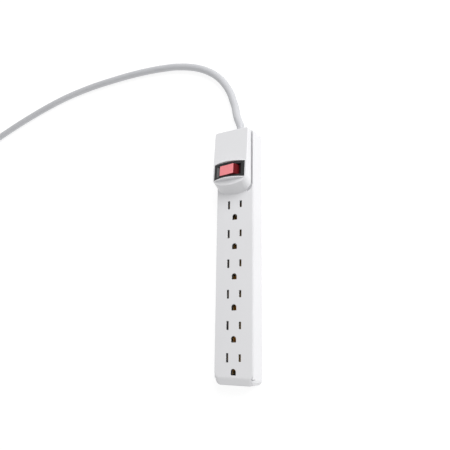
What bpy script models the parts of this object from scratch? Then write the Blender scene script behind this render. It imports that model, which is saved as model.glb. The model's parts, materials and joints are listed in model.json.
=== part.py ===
"""Six-outlet power strip with a raised, switched head and a coiled supply cord.

The strip lies on its back on z = 0 with its outlets up. +Y runs towards the end that the cord
leaves, +X runs across, and the origin is under the middle of the casing. Sizes below are in
millimetres and are turned into metres where a mesh is made. The switch is modelled in its own
frame: its origin is on the rocker's axis, x runs across, y along that axis and z out of the head.
"""

import math

import bmesh
import bpy
from mathutils import Vector

MM = 0.001
GAP = 0.3

# Casing
LENGTH = 236.0
WIDTH = 38.6
FACE_Z = 20.5
WALL = 1.8
FLOOR = 2.2
PLATE = 2.2
HALF_LENGTH = LENGTH / 2
HALF_WIDTH = WIDTH / 2
INNER_HALF_WIDTH = HALF_WIDTH - WALL
INNER_HALF_LENGTH = HALF_LENGTH - FLOOR
SEAM_Z = 19.75
FAR_SEAM_Z = 16.0
FAR_SEAM_Y = -112.4
FAR_CORNER = 5.0
CORD_CORNER = 2.5
BACK_EDGE = 2.2
SEAM_HALF_GAP = 0.22

# Outlets, NEMA 5-15 pattern, first one nearest the head
OUTLET_COUNT = 6
OUTLET_PITCH = 28.0
FIRST_OUTLET_Y = 45.5
BLADE_SPACING = 12.7
GROUND_DROP = 12.0
SLOT_WIDTH = 2.4
NEUTRAL_LENGTH = 7.9
LINE_LENGTH = 6.4
GROUND_WIDTH = 5.1
GROUND_HEIGHT = 5.3
POCKET_MARGIN = 0.8
POCKET_Z = 19.6

# Head that carries the switch
HEAD_HALF_WIDTH = 17.2
HEAD_TOE_Y = 55.5
HEAD_TOE_RUN = 5.9
HEAD_TOE_BOW = 40.0
HEAD_TOE_CORNER = 8.0
HEAD_END_CORNER = 1.8
HEAD_END_HEIGHT = 28.1
HEAD_SLOPE = 0.074
HEAD_EDGE = 0.7
HEAD_WALL = 1.9
GROOVE = 1.3
LIP = 0.8
LIP_TOP_Z = 20.1
LIP_START_Y = 64.0
REBATE_Z = 16.2
SKIRT_Z = 16.0

# Switch, in its own frame
SWITCH_Y = 75.4
SWITCH_Z = 27.7
BEZEL_HALF_X = 16.1
BEZEL_HALF_Y = 7.75
BEZEL_END_Z = 3.7
BEZEL_RISE = 4.4
BEZEL_THICKNESS = 1.6
COLLAR = 0.8
COLLAR_STEP = 0.25
OPENING_HALF_X = 10.6
OPENING_HALF_Y = 5.25
OPENING_BOTTOM = 2.0
WELL_HALF_X = 11.6
WELL_HALF_Y = 5.85
HOUSING_HALF_X = 12.9
HOUSING_HALF_Y = 7.0
HOUSING_BOTTOM = -10.6
BASE_PLATE_TOP = -10.9
BASE_PLATE_BOTTOM = -12.4
ROCKER_TILT = math.radians(-8.0)
ROCKER_HALF_Y = 4.85
TRUNNION_RADIUS = 1.15
ARM_PIVOT_Z = -8.25
ARM_TILT = math.radians(6.0)
TAB_WIDTH = 6.3
TAB_THICKNESS = 0.8
TAB_BOTTOM = -17.0
TAB_X = 9.0

# Contact bars
BAR_Z = 6.2
BAR_THICKNESS = 0.6
LEAF_TOP = 16.8
LEAF_THICKNESS = 0.45

# Fasteners
SCREW_X = 13.0
SCREW_YS = (-107.0, 0.0, 107.0)
SCREW_HEAD_RADIUS = 2.8
SCREW_SHANK_RADIUS = 1.15
CLAMP_Y = 101.0
CLAMP_SCREW_X = 8.0

# Keyhole hangers in the back
KEYHOLE_YS = (30.0, -80.0)
KEYHOLE_ENTRY = 3.9
KEYHOLE_NECK = 1.9
KEYHOLE_TRAVEL = 6.5
KEYHOLE_SKIN = 1.6
KEYHOLE_TOP = 4.4

# Supply cord
CORD_RADIUS = 3.8
EXIT_Z = 9.6
SADDLE_Z = 5.5
POST_TOP = 9.5
CLAMP_BOTTOM = 9.8
CLAMP_TOP = 15.6
RELIEF_TIP_Y = 127.6
CORD_SPACING = 17.0
EXIT_RUN = 3.0
COIL_RADIUS = 44.0
COIL_BOTTOM = 1.0
COIL_TURNS = 1.25
COIL_CENTRE = (-453.0, 139.0)
COIL_ENTRY_ANGLE = math.radians(107.0)
TIE_ANGLE = math.radians(140.0)
PLUG_AXIS_Z = 11.9
PLUG_START = 30.2

# Points that the cord's centre line runs through, from the strain relief to the coil
CORD_ROUTE = (
    (0.0, 127.9, 9.6),
    (-1.2, 132.0, 9.5),
    (-4.6, 140.0, 8.4),
    (-7.3, 148.0, 6.4),
    (-9.4, 155.0, 4.8),
    (-12.4, 163.1, 4.0),
    (-15.5, 171.9, 3.9),
    (-20.5, 181.3, 3.9),
    (-27.2, 190.7, 3.9),
    (-35.9, 199.5, 3.9),
    (-46.1, 207.0, 3.9),
    (-56.7, 213.0, 3.9),
    (-69.0, 218.1, 3.9),
    (-81.4, 222.0, 3.9),
    (-94.2, 225.1, 3.9),
    (-122.0, 229.3, 3.9),
    (-152.8, 232.0, 3.9),
    (-185.1, 233.3, 3.9),
    (-219.1, 233.4, 3.9),
    (-254.8, 231.3, 3.9),
    (-284.4, 227.6, 3.9),
    (-320.0, 220.9, 4.0),
    (-360.0, 211.4, 4.2),
    (-400.0, 200.2, 4.5),
    (-439.7, 189.1, 4.9),
)

BLADE_X = BLADE_SPACING / 2
OUTLET_YS = [FIRST_OUTLET_Y - i * OUTLET_PITCH for i in range(OUTLET_COUNT)]


# ---------------------------------------------------------------- materials


def make_material(name, colour, roughness, metallic=0.0, transmission=0.0):
    """A Principled BSDF material of one colour."""
    material = bpy.data.materials.new(name)
    material.use_nodes = True
    shader = material.node_tree.nodes["Principled BSDF"]
    shader.inputs["Base Color"].default_value = (*colour, 1.0)
    shader.inputs["Roughness"].default_value = roughness
    shader.inputs["Metallic"].default_value = metallic
    shader.inputs["Transmission Weight"].default_value = transmission
    return material


def make_materials():
    """Every material of the strip, by name."""
    return {
        "white_case": make_material("white_case", (0.80, 0.80, 0.81), 0.38),
        "black_bezel": make_material("black_bezel", (0.015, 0.015, 0.017), 0.25),
        "red_lens": make_material("red_lens", (0.75, 0.03, 0.04), 0.15, 0.0, 0.4),
        "brass": make_material("brass", (0.78, 0.57, 0.25), 0.3, 1.0),
        "steel": make_material("steel", (0.62, 0.62, 0.64), 0.3, 1.0),
        "silver": make_material("silver", (0.85, 0.85, 0.86), 0.2, 1.0),
        "cord_white": make_material("cord_white", (0.72, 0.72, 0.73), 0.45),
        "nylon": make_material("nylon", (0.70, 0.68, 0.60), 0.5),
        "glass": make_material("glass", (0.9, 0.9, 0.9), 0.02, 0.0, 1.0),
        "resistor_tan": make_material("resistor_tan", (0.62, 0.48, 0.30), 0.5),
        "wire_black": make_material("wire_black", (0.02, 0.02, 0.02), 0.45),
        "wire_white": make_material("wire_white", (0.75, 0.75, 0.73), 0.45),
        "wire_green": make_material("wire_green", (0.03, 0.30, 0.07), 0.45),
        "tie_black": make_material("tie_black", (0.02, 0.02, 0.02), 0.6),
    }


# ---------------------------------------------------------------- mesh tools


def clear_scene():
    """Removes every object that the file opened with."""
    for obj in list(bpy.data.objects):
        bpy.data.objects.remove(obj, do_unlink=True)


def finish_mesh(name, bm, material=None, parent=None):
    """Turns a bmesh in millimetres into a linked object in metres."""
    bmesh.ops.recalc_face_normals(bm, faces=bm.faces)
    bmesh.ops.scale(bm, vec=(MM, MM, MM), verts=bm.verts)
    mesh = bpy.data.meshes.new(name)
    bm.to_mesh(mesh)
    bm.free()
    obj = bpy.data.objects.new(name, mesh)
    bpy.context.scene.collection.objects.link(obj)
    if material:
        mesh.materials.append(material)
    obj.parent = parent
    return obj


def add_stack(bm, rings):
    """Skins a list of rings, each with the same number of points, and caps both ends."""
    rows = [[bm.verts.new(point) for point in ring] for ring in rings]
    count = len(rows[0])
    for lower, upper in zip(rows, rows[1:]):
        for i in range(count):
            j = (i + 1) % count
            bm.faces.new((lower[i], lower[j], upper[j], upper[i]))
    bm.faces.new(rows[0][::-1])
    bm.faces.new(rows[-1])


def stack(name, rings, material=None, parent=None):
    """One closed body skinned over rings."""
    bm = bmesh.new()
    add_stack(bm, rings)
    return finish_mesh(name, bm, material, parent)


def lifted(outline, low, high, axis="z"):
    """The two end rings of an outline extruded along an axis."""
    place = {
        "x": lambda a, b, c: (c, a, b),
        "y": lambda a, b, c: (a, c, b),
        "z": lambda a, b, c: (a, b, c),
    }[axis]
    return [[place(a, b, c) for a, b in outline] for c in (low, high)]


def prism(name, outline, low, high, axis="z", material=None, parent=None):
    """An outline extruded from low to high along an axis."""
    return stack(name, lifted(outline, low, high, axis), material, parent)


def rectangle(low_a, high_a, low_b, high_b):
    """Four corners, anticlockwise."""
    return [(low_a, low_b), (high_a, low_b), (high_a, high_b), (low_a, high_b)]


def box(name, low, high, material=None, parent=None):
    """A box between two opposite corners."""
    outline = rectangle(low[0], high[0], low[1], high[1])
    return prism(name, outline, low[2], high[2], "z", material, parent)


def arc(centre, radius, start, end, steps):
    """Points on an arc, angles in degrees, both ends included."""
    points = []
    for i in range(steps + 1):
        angle = math.radians(start + (end - start) * i / steps)
        x = centre[0] + radius * math.cos(angle)
        y = centre[1] + radius * math.sin(angle)
        points.append((x, y))
    return points


def circle(centre, radius, count):
    """A regular polygon's corners."""
    return arc(centre, radius, 0, 360, count)[:-1]


def turned(name, profile, centre, axis="z", count=12, material=None, parent=None):
    """A turned solid: profile lists (radius, height along the axis) from one end to the other."""
    rings = []
    for radius, height in profile:
        rings.append(lifted(circle(centre, radius, count), height, height, axis)[0])
    return stack(name, rings, material, parent)


def rounded_outline(half_x, low_y, high_y, low_radius, high_radius, steps=4):
    """A rectangle centred on x = 0 with its own corner radius at each end."""
    outline = arc((half_x - low_radius, low_y + low_radius), low_radius, -90, 0, steps)
    outline += arc((half_x - high_radius, high_y - high_radius), high_radius, 0, 90, steps)
    outline += arc((high_radius - half_x, high_y - high_radius), high_radius, 90, 180, steps)
    outline += arc((low_radius - half_x, low_y + low_radius), low_radius, 180, 270, steps)
    return outline


def combine(obj, operation, tools):
    """Adds one exact Boolean for each tool and hides the tool."""
    for tool in tools:
        modifier = obj.modifiers.new(operation.lower() + "_" + tool.name, "BOOLEAN")
        modifier.operation = operation
        modifier.solver = "EXACT"
        modifier.object = tool
        tool.hide_render = True
        tool.display_type = "WIRE"
        tool.name = "tool_" + tool.name


def smooth_path(points, spacing):
    """Evenly spaced points on a Catmull-Rom curve through the given points."""
    ends = [2 * points[0] - points[1], 2 * points[-1] - points[-2]]
    knots = [ends[0], *points, ends[1]]
    dense = []
    steps = 24
    for a, b, c, d in zip(knots, knots[1:], knots[2:], knots[3:]):
        for i in range(steps):
            t = i / steps
            bend = (2 * a - 5 * b + 4 * c - d) * t * t + (3 * b - a - 3 * c + d) * t**3
            dense.append((2 * b + (c - a) * t + bend) / 2)
    dense.append(points[-1])
    return evenly_spaced(dense, spacing)


def evenly_spaced(points, spacing):
    """Resamples a fine polyline at equal steps, close to the spacing asked for."""
    lengths = [0.0]
    for a, b in zip(points, points[1:]):
        lengths.append(lengths[-1] + (b - a).length)
    count = max(1, round(lengths[-1] / spacing))
    result = []
    index = 0
    for i in range(count + 1):
        target = lengths[-1] * i / count
        while index < len(points) - 2 and lengths[index + 1] < target:
            index += 1
        span = lengths[index + 1] - lengths[index]
        share = (target - lengths[index]) / span
        result.append(points[index].lerp(points[index + 1], share))
    return result


def tube(name, points, radius, resolution, material):
    """A round solid along a path, as a curve with a bevel."""
    curve = bpy.data.curves.new(name, "CURVE")
    curve.dimensions = "3D"
    curve.bevel_depth = radius * MM
    curve.bevel_resolution = resolution
    curve.use_fill_caps = True
    spline = curve.splines.new("POLY")
    spline.points.add(len(points) - 1)
    for knot, point in zip(spline.points, points):
        knot.co = (*(point * MM), 1.0)
    curve.materials.append(material)
    obj = bpy.data.objects.new(name, curve)
    bpy.context.scene.collection.objects.link(obj)
    return obj


def shade_round(obj):
    """Smooth shading that keeps edges over 30 degrees sharp."""
    obj.data.shade_smooth()
    obj.data.set_sharp_from_angle(angle=math.radians(30))


# ---------------------------------------------------------------- casing


def casing_ring(z, inset, far_y):
    """The casing's outline at one height."""
    far_radius = max(FAR_CORNER - inset, 0.5)
    cord_radius = max(CORD_CORNER - inset, 0.4)
    half_x = HALF_WIDTH - inset
    outline = rounded_outline(half_x, far_y, HALF_LENGTH - inset, far_radius, cord_radius)
    return [(x, y, z) for x, y in outline]


def keyhole_outline(y):
    """Round entry with a narrow neck above it."""
    half_angle = math.degrees(math.asin(KEYHOLE_NECK / KEYHOLE_ENTRY))
    entry = arc((0, y), KEYHOLE_ENTRY, 90 + half_angle, 450 - half_angle, 14)
    neck = arc((0, y + KEYHOLE_TRAVEL), KEYHOLE_NECK, 0, 180, 6)
    return entry + neck


def keyhole_channel(y):
    """The room that a screw's head needs behind the keyhole's skin."""
    low = arc((0, y), KEYHOLE_ENTRY, 180, 360, 8)
    high = arc((0, y + KEYHOLE_TRAVEL), KEYHOLE_ENTRY, 0, 180, 8)
    return low + high


def screw_places():
    """The centres of the casing screws."""
    return [(side * SCREW_X, y) for y in SCREW_YS for side in (-1, 1)]


def base_additions():
    """Ribs, bosses, hanger pockets and the cord saddle that stand on the floor."""
    tools = []
    for side in (-1, 1):
        low_x, high_x = sorted((side * 3.2, side * 4.2))
        tools.append(box("bar_rib", (low_x, -104.0, 2.0), (high_x, 51.0, 12.0)))
        post = (side * CLAMP_SCREW_X, CLAMP_Y)
        tools.append(turned("clamp_post", ((2.6, 2.0), (2.6, POST_TOP)), post))
    for y in OUTLET_YS:
        low = (-INNER_HALF_WIDTH - 0.5, y - 7.2, 1.9)
        high = (INNER_HALF_WIDTH + 0.5, y - 5.8, BAR_Z - GAP)
        tools.append(box("cross_rib", low, high))
    for y in KEYHOLE_YS:
        low = (-6.1, y - 5.6, 1.8)
        high = (6.1, y + KEYHOLE_TRAVEL + 5.6, BAR_Z - 0.4)
        tools.append(box("hanger_pocket", low, high))
    for centre in screw_places():
        tools.append(turned("screw_boss", ((3.9, 1.7), (3.9, 7.6)), centre))
    tools.append(box("cord_saddle", (-6.9, CLAMP_Y - 2, 1.85), (6.9, CLAMP_Y + 2, SADDLE_Z)))
    return tools


def base_cuts():
    """Holes through the base: hangers, screws, clamp screws and the cord's exit."""
    tools = []
    for y in KEYHOLE_YS:
        tools.append(prism("keyhole", keyhole_outline(y), -1.0, KEYHOLE_TOP - 0.01))
        tools.append(prism("channel", keyhole_channel(y), KEYHOLE_SKIN, KEYHOLE_TOP))
    for centre in screw_places():
        bore = ((3.2, -1.0), (3.2, 2.8), (1.6, 2.81), (1.6, 9.0))
        tools.append(turned("screw_bore", bore, centre))
    for side in (-1, 1):
        post = (side * CLAMP_SCREW_X, CLAMP_Y)
        tools.append(turned("post_bore", ((1.5, 3.0), (1.5, 11.0)), post, count=8))
        low_x, high_x = sorted((side * (INNER_HALF_WIDTH - 1.0), side * (HALF_WIDTH - LIP)))
        low = (low_x, LIP_START_Y, REBATE_Z)
        tools.append(box("rebate", low, (high_x, INNER_HALF_LENGTH, 22.0)))
        low_x, high_x = sorted((side * HEAD_HALF_WIDTH, side * (HALF_WIDTH - LIP)))
        low = (low_x, INNER_HALF_LENGTH - 1.0, REBATE_Z)
        tools.append(box("groove_end", low, (high_x, 130.0, 22.0)))
    exit_bore = ((5.3, 112.0), (5.3, 120.0))
    tools.append(turned("exit_bore", exit_bore, (0, EXIT_Z), "y", 16))
    return tools


def make_base_shell(materials):
    """The tub: floor, side walls, end walls and all that stands on the floor."""
    seam = SEAM_Z - SEAM_HALF_GAP
    far_seam = FAR_SEAM_Z - SEAM_HALF_GAP
    far_y = FAR_SEAM_Y + SEAM_HALF_GAP
    soft = BACK_EDGE * (1 - math.sqrt(0.5))
    rings = [
        casing_ring(0.0, BACK_EDGE, BACK_EDGE - HALF_LENGTH),
        casing_ring(soft, soft, soft - HALF_LENGTH),
        casing_ring(BACK_EDGE, 0.0, -HALF_LENGTH),
        casing_ring(LIP_TOP_Z, 0.0, -HALF_LENGTH),
    ]
    shell = stack("base_shell", rings, materials["white_case"])
    cavity = rounded_outline(INNER_HALF_WIDTH, -INNER_HALF_LENGTH, INNER_HALF_LENGTH, 3, 1)
    lip_x = HALF_WIDTH - LIP
    cuts = [
        prism("cavity", cavity, FLOOR, 30.0),
        box("far_step", (-25.0, -130.0, far_seam), (25.0, far_y, 30.0)),
        box("seam_cut", (-25.0, -130.0, seam), (25.0, LIP_START_Y, 30.0)),
        box("end_cut", (-lip_x, LIP_START_Y - 1.0, seam), (lip_x, 130.0, 30.0)),
    ]
    combine(shell, "DIFFERENCE", cuts)
    combine(shell, "UNION", base_additions())
    combine(shell, "DIFFERENCE", base_cuts())
    return shell


def face_height(y):
    """Height of the head's sloping face."""
    return HEAD_END_HEIGHT + (HALF_LENGTH - y) * HEAD_SLOPE


def head_outline(inset, toe_y):
    """The head's plan: a bowed toe, round toe corners, straight sides and tight end corners."""
    half_x = HEAD_HALF_WIDTH - inset
    corner = HEAD_TOE_CORNER - inset
    centre_x = half_x - corner
    toe = []
    for i in range(-3, 4):
        x = i * centre_x / 3
        toe.append((x, toe_y + x * x / (2 * HEAD_TOE_BOW)))
    centre_y = toe[-1][1] + corner
    right = arc((centre_x, centre_y), corner, -75, 0, 4)
    left = arc((-centre_x, centre_y), corner, 180, 255, 4)
    end_y = HALF_LENGTH - inset
    radius = max(HEAD_END_CORNER - inset, 0.5)
    far_right = arc((half_x - radius, end_y - radius), radius, 0, 90, 2)
    far_left = arc((radius - half_x, end_y - radius), radius, 90, 180, 2)
    return toe + right + far_right + far_left + left


def head_ring(inset, toe_y, depth=None, z=None):
    """A ring of the head, either level at z or a given depth under the sloping face."""
    points = []
    for x, y in head_outline(inset, toe_y):
        height = z if depth is None else face_height(y) - depth
        points.append((x, y, height))
    return points


def make_head(name):
    """The head's outer form."""
    top_toe = HEAD_TOE_Y + HEAD_TOE_RUN
    rings = [
        head_ring(0.0, HEAD_TOE_Y, z=SKIRT_Z),
        head_ring(0.0, HEAD_TOE_Y, z=FACE_Z),
        head_ring(0.0, top_toe, depth=HEAD_EDGE),
        head_ring(0.2, top_toe + 0.25, depth=0.2),
        head_ring(HEAD_EDGE, top_toe + 0.9, depth=0.0),
    ]
    return stack(name, rings)


def make_head_cavity(name):
    """The hollow inside the head."""
    rings = [
        head_ring(HEAD_WALL, HEAD_TOE_Y + 2.2, z=SKIRT_Z - 1.0),
        head_ring(HEAD_WALL, HEAD_TOE_Y + 2.2, z=FACE_Z - 0.5),
        head_ring(HEAD_WALL, HEAD_TOE_Y + HEAD_TOE_RUN + 2.0, depth=HEAD_WALL),
    ]
    return stack(name, rings)


def bezel_height(x):
    """The switch bezel's crowned top, in the switch's frame."""
    return BEZEL_END_Z + BEZEL_RISE * (1 - (x / BEZEL_HALF_X) ** 2)


def crowned_outline(half_x, bottom, offset, steps=14):
    """A cross-section with a flat bottom and a crowned top."""
    top = []
    for i in range(steps + 1):
        x = half_x * (1 - 2 * i / steps)
        top.append((x, bezel_height(x) + offset))
    return [(-half_x, bottom), (half_x, bottom), *top]


def collar_tools(mount):
    """The crowned collar round the switch, and the pocket and window cut in it."""
    half_x = BEZEL_HALF_X + COLLAR
    half_y = BEZEL_HALF_Y + COLLAR + 0.2
    collar = prism(
        "collar", crowned_outline(half_x, 0.0, COLLAR_STEP), -half_y, half_y, "y", None, mount
    )
    floor = [(x, z) for x, z in crowned_outline(BEZEL_HALF_X + 0.2, 0.0, -BEZEL_THICKNESS - GAP)]
    pocket_outline = floor[2:] + [(-BEZEL_HALF_X - 0.2, 20.0), (BEZEL_HALF_X + 0.2, 20.0)]
    pocket_y = BEZEL_HALF_Y + 0.2
    pocket = prism("pocket", pocket_outline, -pocket_y, pocket_y, "y", None, mount)
    reach_x = HOUSING_HALF_X + GAP
    reach_y = HOUSING_HALF_Y + 0.2
    window = box(
        "window", (-reach_x, -reach_y, -12.0), (reach_x, reach_y, 12.0), parent=mount
    )
    return collar, pocket, window


def ground_outline(y):
    """D-shaped ground hole: round towards the blades, flat away from them."""
    half = GROUND_WIDTH / 2
    centre_y = y + GROUND_HEIGHT / 2 - half
    round_side = arc((0, centre_y), half, 0, 180, 8)
    flat_y = y - GROUND_HEIGHT / 2
    return [(-half, flat_y), (half, flat_y), *round_side]


def make_outlet_slots():
    """All the outlets' slots as one tool, and the shallow pockets behind them as another."""
    slots = bmesh.new()
    pockets = bmesh.new()
    for y in OUTLET_YS:
        ground_y = y - GROUND_DROP
        openings = (
            (-BLADE_X, y, SLOT_WIDTH / 2, NEUTRAL_LENGTH / 2),
            (BLADE_X, y, SLOT_WIDTH / 2, LINE_LENGTH / 2),
            (0.0, ground_y, GROUND_WIDTH / 2, GROUND_HEIGHT / 2),
        )
        for x, middle, half_x, half_y in openings:
            slot = rectangle(x - half_x, x + half_x, middle - half_y, middle + half_y)
            if x:
                add_stack(slots, lifted(slot, 18.0, 24.0))
            half_x += POCKET_MARGIN
            half_y += POCKET_MARGIN
            pocket = rectangle(x - half_x, x + half_x, middle - half_y, middle + half_y)
            add_stack(pockets, lifted(pocket, 17.0, POCKET_Z))
        add_stack(slots, lifted(ground_outline(ground_y), 18.0, 24.0))
    return finish_mesh("slots", slots), finish_mesh("pockets", pockets)


def groove_corner():
    """The groove where it turns in round the head's right toe corner."""
    corner = HEAD_TOE_CORNER
    centre_x = HEAD_HALF_WIDTH - corner
    centre_y = HEAD_TOE_Y + centre_x**2 / (2 * HEAD_TOE_BOW) + corner
    outer = arc((centre_x, centre_y), corner + GROOVE, -62, 8, 6)
    inner = arc((centre_x, centre_y), corner - 0.6, 8, -62, 6)
    return prism("groove_corner", outer + inner, FACE_Z - 1.5, 24.0)


def make_top_cover(materials, mount):
    """The front shell: outlet face, rolled far end and the head."""
    low = SEAM_Z + SEAM_HALF_GAP
    far_low = FAR_SEAM_Z + SEAM_HALF_GAP
    rings = [
        casing_ring(far_low, 0.0, -HALF_LENGTH),
        casing_ring(far_low + 1.0, 0.0, -HALF_LENGTH + 0.1),
        casing_ring(far_low + 1.6, 0.0, -HALF_LENGTH + 0.8),
        casing_ring(FACE_Z - 0.4, 0.0, -HALF_LENGTH + 5.9),
        casing_ring(FACE_Z, 0.45, -HALF_LENGTH + 6.7),
    ]
    cover = stack("top_cover", rings, materials["white_case"])
    plate_half = INNER_HALF_WIDTH - GAP
    plate_low = FACE_Z - PLATE
    far_y = FAR_SEAM_Y - SEAM_HALF_GAP
    under_low = (-plate_half, 0.2 - INNER_HALF_LENGTH, 0.0)
    under = [box("under", under_low, (plate_half, 130.0, plate_low))]
    for side in (-1, 1):
        low_x, high_x = sorted((side * plate_half, side * 25.0))
        under.append(box("side_under", (low_x, far_y, 0.0), (high_x, 130.0, low)))
    combine(cover, "DIFFERENCE", under)
    combine(cover, "UNION", [make_head("head")])

    end_low = (-25.0, INNER_HALF_LENGTH - GAP, 0.0)
    cuts = [make_head_cavity("head_hollow"), box("end_cut", end_low, (25.0, 130.0, low))]
    for side in (-1, 1):
        low_x, high_x = sorted((side * HEAD_HALF_WIDTH, side * 25.0))
        cuts.append(box("side_cut", (low_x, LIP_START_Y - GAP, 10.0), (high_x, 130.0, 24.0)))
    combine(cover, "DIFFERENCE", [*cuts, groove_corner(), *make_outlet_slots()])

    collar, pocket, window = collar_tools(mount)
    bosses = []
    bores = []
    for x, y in screw_places():
        ceiling = face_height(y) - HEAD_WALL if y > HEAD_TOE_Y else plate_low
        bosses.append(turned("cover_boss", ((2.6, 8.0), (2.6, ceiling + 1.0)), (x, y)))
        bores.append(turned("cover_bore", ((1.4, 7.0), (1.4, 16.9)), (x, y), count=8))
    combine(cover, "UNION", [collar, *bosses])
    combine(cover, "DIFFERENCE", [pocket, window, *bores])
    return cover


# ---------------------------------------------------------------- fasteners


def make_screw(name, centre, head_z, point_z, head_radius, material):
    """A pan-head screw. Its head is at head_z and its shank runs to point_z."""
    turn = 1 if point_z > head_z else -1
    profile = [
        (head_radius - 0.5, head_z),
        (head_radius, head_z + 0.6 * turn),
        (head_radius, head_z + 1.8 * turn),
        (SCREW_SHANK_RADIUS, head_z + 1.81 * turn),
        (SCREW_SHANK_RADIUS, point_z - 1.5 * turn),
        (0.3, point_z),
    ]
    screw = turned(name, profile, centre, material=material)
    depth = sorted((head_z - turn, head_z + 1.1 * turn))
    arm, half = head_radius * 0.62, 0.35
    x, y = centre
    across = box("recess_x", (x - arm, y - half, depth[0]), (x + arm, y + half, depth[1]))
    along = box("recess_y", (x - half, y - arm, depth[0]), (x + half, y + arm, depth[1]))
    combine(screw, "DIFFERENCE", [across, along])
    return screw


def make_fasteners(materials):
    """The casing screws and the cord clamp's screws."""
    for number, centre in enumerate(screw_places(), 1):
        name = f"casing_screw_{number}"
        make_screw(name, centre, 0.7, 15.5, SCREW_HEAD_RADIUS, materials["steel"])
    for number, side in enumerate((-1, 1), 1):
        centre = (side * CLAMP_SCREW_X, CLAMP_Y)
        name = f"clamp_screw_{number}"
        make_screw(name, centre, CLAMP_TOP + GAP + 1.8, 4.0, 2.2, materials["steel"])


# ---------------------------------------------------------------- switch


def make_mount():
    """The empty that the switch's pieces hang on, square to the head's sloping face."""
    mount = bpy.data.objects.new("switch_mount", None)
    mount.location = (0.0, SWITCH_Y * MM, SWITCH_Z * MM)
    mount.rotation_euler = (-math.atan(HEAD_SLOPE), 0.0, 0.0)
    bpy.context.scene.collection.objects.link(mount)
    return mount


def make_switch_frame(materials, mount):
    """The black bezel and the housing walls under it, in one moulding."""
    flange_top = crowned_outline(BEZEL_HALF_X, 0.0, 0.0)[2:]
    flange_bottom = [(x, z - BEZEL_THICKNESS) for x, z in reversed(flange_top)]
    frame = prism(
        "switch_frame", flange_top + flange_bottom, -BEZEL_HALF_Y, BEZEL_HALF_Y, "y",
        materials["black_bezel"], mount,
    )
    walls = prism(
        "walls", crowned_outline(HOUSING_HALF_X, HOUSING_BOTTOM, -0.8),
        -HOUSING_HALF_Y, HOUSING_HALF_Y, "y", None, mount,
    )
    opening = box(
        "opening", (-OPENING_HALF_X, -OPENING_HALF_Y, 0.0),
        (OPENING_HALF_X, OPENING_HALF_Y, 15.0), parent=mount,
    )
    well = box(
        "well", (-WELL_HALF_X, -WELL_HALF_Y, -15.0),
        (WELL_HALF_X, WELL_HALF_Y, OPENING_BOTTOM), parent=mount,
    )
    bearing = turned(
        "bearing", ((TRUNNION_RADIUS + 0.2, -9.0), (TRUNNION_RADIUS + 0.2, 9.0)), (0, 0), "y",
        12, None, mount,
    )
    combine(frame, "UNION", [walls])
    combine(frame, "DIFFERENCE", [well, opening, bearing])
    return frame


def rocker_outline():
    """The rocker's section: a slightly dished top and ends that clear the bezel."""
    right = [(9.6, -1.5), (9.5, 3.2), (8.2, 7.0), (7.7, 7.5)]
    left = [(-x, z) for x, z in reversed(right)]
    return [*right, (0.0, 7.2), *left]


def make_rocker(materials, mount):
    """The red rocker with its trunnions and the stem that holds the plunger."""
    rocker = prism(
        "rocker", rocker_outline(), -ROCKER_HALF_Y, ROCKER_HALF_Y, "y",
        materials["red_lens"], mount,
    )
    rocker.rotation_euler = (0.0, ROCKER_TILT, 0.0)
    hollow = box("rocker_hollow", (-7.9, -3.6, -3.0), (7.9, 3.6, 5.2), parent=rocker)
    stem = box("stem", (-2.5, -2.5, -4.2), (2.5, 2.5, 5.8), parent=rocker)
    bore = turned("plunger_bore", ((1.6, -6.0), (1.6, 1.8)), (0, 0), "z", 12, None, rocker)
    combine(rocker, "DIFFERENCE", [hollow])
    trunnions = []
    for side in (-1, 1):
        low_y, high_y = sorted((side * 4.1, side * 6.7))
        pin = ((TRUNNION_RADIUS, low_y), (TRUNNION_RADIUS, high_y))
        trunnions.append(turned("trunnion", pin, (0, 0), "y", 12, None, rocker))
    combine(rocker, "UNION", [stem, *trunnions])
    combine(rocker, "DIFFERENCE", [bore])
    return rocker


def make_plunger(materials, rocker):
    """The sliding pin in the rocker's stem."""
    profile = ((0.5, -7.0), (1.1, -6.6), (1.3, -6.0), (1.3, -2.6), (0.55, -2.59), (0.55, -0.6))
    turned("plunger", profile, (0, 0), "z", 10, materials["nylon"], rocker)


def make_plunger_spring(materials, rocker):
    """The coil spring between the bore's end and the plunger's shoulder."""
    turns, per_turn, mean_radius, wire = 4, 10, 0.95, 0.18
    low, high = -2.2, 1.3
    rings = []
    for i in range(turns * per_turn + 1):
        angle = 2 * math.pi * i / per_turn
        height = low + (high - low) * i / (turns * per_turn)
        ring = []
        for side in range(5):
            turn = 2 * math.pi * side / 5
            reach = mean_radius + wire * math.cos(turn)
            x, y = reach * math.cos(angle), reach * math.sin(angle)
            ring.append((x, y, height + wire * math.sin(turn)))
        rings.append(ring)
    stack("plunger_spring", rings, materials["steel"], rocker)


def make_contact_arm(materials, mount):
    """The see-saw contact, with its origin on the edge it rocks on."""
    outline = rectangle(-7.5, 7.5, -2.0, 2.0)
    arm = prism("contact_arm", outline, 0.3, 0.9, "z", materials["brass"], mount)
    arm.location = (0.0, 0.0, ARM_PIVOT_Z * MM)
    arm.rotation_euler = (0.0, ARM_TILT, 0.0)
    rivet = turned("rivet", ((1.2, -0.35), (1.2, 0.6)), (6.2, 0), "z", 10, None, arm)
    combine(arm, "UNION", [rivet])


def tab(name, x, top, material, mount):
    """A flat push-on tab that stands out of the switch's base."""
    half_x, half_y = TAB_THICKNESS / 2, TAB_WIDTH / 2
    low = (x - half_x, -half_y, TAB_BOTTOM)
    return box(name, low, (x + half_x, half_y, top), material, mount)


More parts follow.
